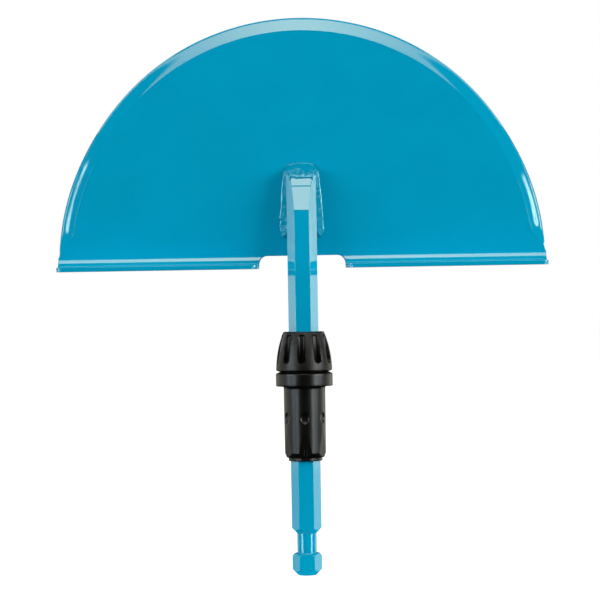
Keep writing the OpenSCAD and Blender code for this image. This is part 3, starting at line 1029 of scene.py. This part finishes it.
def softbox(name, azimuths, elevations, radiance, colour):
    """A flat rectangular light seen from the part between two azimuths and two elevations in degrees."""
    middle = sum(elevations) / 2.0
    away = away_from_part(sum(azimuths) / 2.0, middle)
    wide = math.radians(azimuths[1] - azimuths[0])
    tall = math.radians(elevations[1] - elevations[0])
    light = bpy.data.lights.new(name, "AREA")
    light.shape = "RECTANGLE"
    light.size = 2.0 * LIGHT_DISTANCE * math.tan(wide / 2.0) * math.cos(math.radians(middle))
    light.size_y = 2.0 * LIGHT_DISTANCE * math.tan(tall / 2.0)
    light.energy = radiance * math.pi * light.size * light.size_y
    light.color = colour
    obj = bpy.data.objects.new(name, light)
    obj.location = TARGET + away * LIGHT_DISTANCE
    obj.rotation_euler = (-away).to_track_quat("-Z", "Y").to_euler()
    obj.visible_camera = False
    bpy.context.scene.collection.objects.link(obj)


# Fading of a screen: distances aside in metres, the share left there, and elevations in degrees
FADE_START = 0.12
FADE_END = 0.85
FADE_SHARE = 0.42
FADE_FOOT = 29.1
FADE_TOP = 30.8


def light_height(elevation):
    """Height of a light at an elevation in degrees."""
    return TARGET.z + LIGHT_DISTANCE * math.sin(math.radians(elevation))


def fade(tree, shader, radiance):
    """Lets a screen grow dimmer towards its sides and its lower edge."""
    coords = tree.nodes.new("ShaderNodeTexCoord")
    parts = tree.nodes.new("ShaderNodeSeparateXYZ")
    aside = tree.nodes.new("ShaderNodeMath")
    aside.operation = "ABSOLUTE"
    sides = tree.nodes.new("ShaderNodeMapRange")
    sides.inputs["From Min"].default_value = FADE_START
    sides.inputs["From Max"].default_value = FADE_END
    sides.inputs["To Min"].default_value = radiance
    sides.inputs["To Max"].default_value = FADE_SHARE * radiance
    low = tree.nodes.new("ShaderNodeMapRange")
    low.inputs["From Min"].default_value = light_height(FADE_FOOT)
    low.inputs["From Max"].default_value = light_height(FADE_TOP)
    total = tree.nodes.new("ShaderNodeMath")
    total.operation = "MULTIPLY"
    tree.links.new(coords.outputs["Object"], parts.inputs["Vector"])
    tree.links.new(parts.outputs["X"], aside.inputs[0])
    tree.links.new(aside.outputs["Value"], sides.inputs["Value"])
    tree.links.new(parts.outputs["Z"], low.inputs["Value"])
    tree.links.new(sides.outputs["Result"], total.inputs[0])
    tree.links.new(low.outputs["Result"], total.inputs[1])
    tree.links.new(total.outputs["Value"], shader.inputs["Emission Strength"])


def light_dome(name, low_azimuths, high_azimuths, elevations, radiance, colour, faded=False):
    """A curved diffusing screen round the part, its lower and upper edges each at one elevation."""
    material, tree, shader = shader_tree(name + "_screen")
    shader.inputs["Base Color"].default_value = (0.0, 0.0, 0.0, 1.0)
    shader.inputs["Specular IOR Level"].default_value = 0.0
    shader.inputs["Emission Color"].default_value = (*colour, 1.0)
    shader.inputs["Emission Strength"].default_value = radiance
    if faded:
        fade(tree, shader, radiance)
    across = 24
    up = 12
    places = []
    for j in range(up + 1):
        v = j / up
        left = mix(low_azimuths[0], high_azimuths[0], v)
        right = mix(low_azimuths[1], high_azimuths[1], v)
        for i in range(across + 1):
            away = away_from_part(mix(left, right, i / across), mix(*elevations, v))
            places.append(TARGET + away * LIGHT_DISTANCE)
    width = across + 1
    corners = [j * width + i for j in range(up) for i in range(across)]
    mesh = bpy.data.meshes.new(name)
    mesh.from_pydata(places, [], [(k, k + 1, k + 1 + width, k + width) for k in corners])
    mesh.materials.append(material)
    obj = bpy.data.objects.new(name, mesh)
    obj.visible_camera = False
    bpy.context.scene.collection.objects.link(obj)


def screen(name, azimuths, elevations, radiance, colour):
    """A curved screen with upright sides."""
    light_dome(name, azimuths, azimuths, elevations, radiance, colour)


def screen_pair(name, azimuths, elevations, left, right):
    """Two screens at the same azimuths to the left and to the right, each with its radiance and colour."""
    near, far = azimuths
    screen(name + "_left", (-far, -near), elevations, *left)
    screen(name + "_right", (near, far), elevations, *right)


def make_world(seen, lit):
    """Plain white where the camera looks past the part, and a dim even fill for everything else."""
    world = bpy.data.worlds.new("studio")
    bpy.context.scene.world = world
    world.use_nodes = True
    tree = world.node_tree
    tree.nodes.clear()
    output = tree.nodes.new("ShaderNodeOutputWorld")
    path = tree.nodes.new("ShaderNodeLightPath")
    choice = tree.nodes.new("ShaderNodeMixShader")
    fill = tree.nodes.new("ShaderNodeBackground")
    white = tree.nodes.new("ShaderNodeBackground")
    fill.inputs["Color"].default_value = (1.0, 1.0, 1.0, 1.0)
    fill.inputs["Strength"].default_value = lit
    white.inputs["Color"].default_value = (1.0, 1.0, 1.0, 1.0)
    white.inputs["Strength"].default_value = seen
    tree.links.new(path.outputs["Is Camera Ray"], choice.inputs["Fac"])
    tree.links.new(fill.outputs["Background"], choice.inputs[1])
    tree.links.new(white.outputs["Background"], choice.inputs[2])
    tree.links.new(choice.outputs["Shader"], output.inputs["Surface"])


WARM = (1.0, 0.96, 0.86)
NEUTRAL = (1.0, 1.0, 0.94)
COOL = (0.92, 1.0, 1.02)
SOFT = (1.0, 1.0, 0.84)
SKY = (0.68, 1.0, 1.3)
make_floor()
make_world(seen=1.0, lit=0.004)

# Band along the top of the rim and on the treads
light_dome("overhead", (-42.0, 42.0), (-42.0, 42.0), (28.5, 67.0), 3.1, WARM, faded=True)

# Light lines along the lower ends of the ground bevel
light_dome("streak_left", (-37.05, -35.5), (-32.6, -31.5), (-1.0, 15.2), 5.3, SKY)
light_dome("streak_right", (36.3, 37.7), (33.2, 33.7), (-1.0, 12.6), 7.4, SKY)

# Soft bands on the black mouldings and light lines on the turned neck
screen("card_left", (-48.0, -36.0), (-6.6, -0.5), 7.0, NEUTRAL)
screen("card_right", (40.5, 52.0), (-6.6, -0.5), 9.0, COOL)
screen("low_left", (-68.5, -64.0), (-10.0, -1.5), 6.2, SKY)
screen("low_right", (64.0, 68.5), (-10.5, -6.8), 7.0, SKY)
screen_pair("neck", (49.0, 57.5), (-10.5, -6.8), (6.2, SKY), (5.8, SKY))
screen_pair("fill", (77.0, 110.0), (-5.6, -0.5), (1.8, NEUTRAL), (1.4, COOL))

# Thin lines along the rim's edge and at the treads' outer ends
screen_pair("high", (66.0, 92.0), (32.5, 58.0), (1.4, NEUTRAL), (1.4, COOL))
light_dome("edge_left", (-65.0, -54.0), (-69.0, -58.0), (18.5, 30.0), 3.4, COOL)
light_dome("edge_right", (54.0, 65.0), (58.0, 69.0), (18.5, 30.0), 1.6, COOL)
screen("corner_left", (-74.0, -63.0), (-1.5, 3.0), 5.3, COOL)
screen("corner_right", (63.0, 74.0), (-0.5, 3.0), 9.0, NEUTRAL)

# Main light from both sides
softbox("side_left", (-75.0, -42.0), (3.0, 18.0), 5.3, COOL)
softbox("side_right", (42.0, 75.0), (3.0, 18.0), 10.2, NEUTRAL)

# Pale reflections in the bar's slanting sides, dimmer towards its tail
screen_pair("rear_high", (112.0, 150.0), (6.0, 20.0), (1.6, NEUTRAL), (1.7, NEUTRAL))
screen_pair("rear_upper", (110.0, 150.0), (-3.0, 0.65), (1.15, SOFT), (1.65, SOFT))
screen_pair("rear_middle", (110.0, 150.0), (-6.0, -3.0), (0.75, SOFT), (1.5, SOFT))
screen_pair("rear_lower", (110.0, 150.0), (-20.0, -6.0), (0.52, SOFT), (1.02, SOFT))

# Camera: a long lens in front of the part, rolled a little
camera_data = bpy.data.cameras.new("camera")
camera_data.sensor_width = 36.0
camera_data.lens = 154.8
camera = bpy.data.objects.new("camera", camera_data)
camera.location = (-0.0014, -1.2, 0.04)
camera.rotation_euler = (math.radians(90.0), math.radians(0.95), 0.0)
bpy.context.scene.collection.objects.link(camera)
bpy.context.scene.camera = camera
bpy.context.scene.view_settings.view_transform = "Standard"
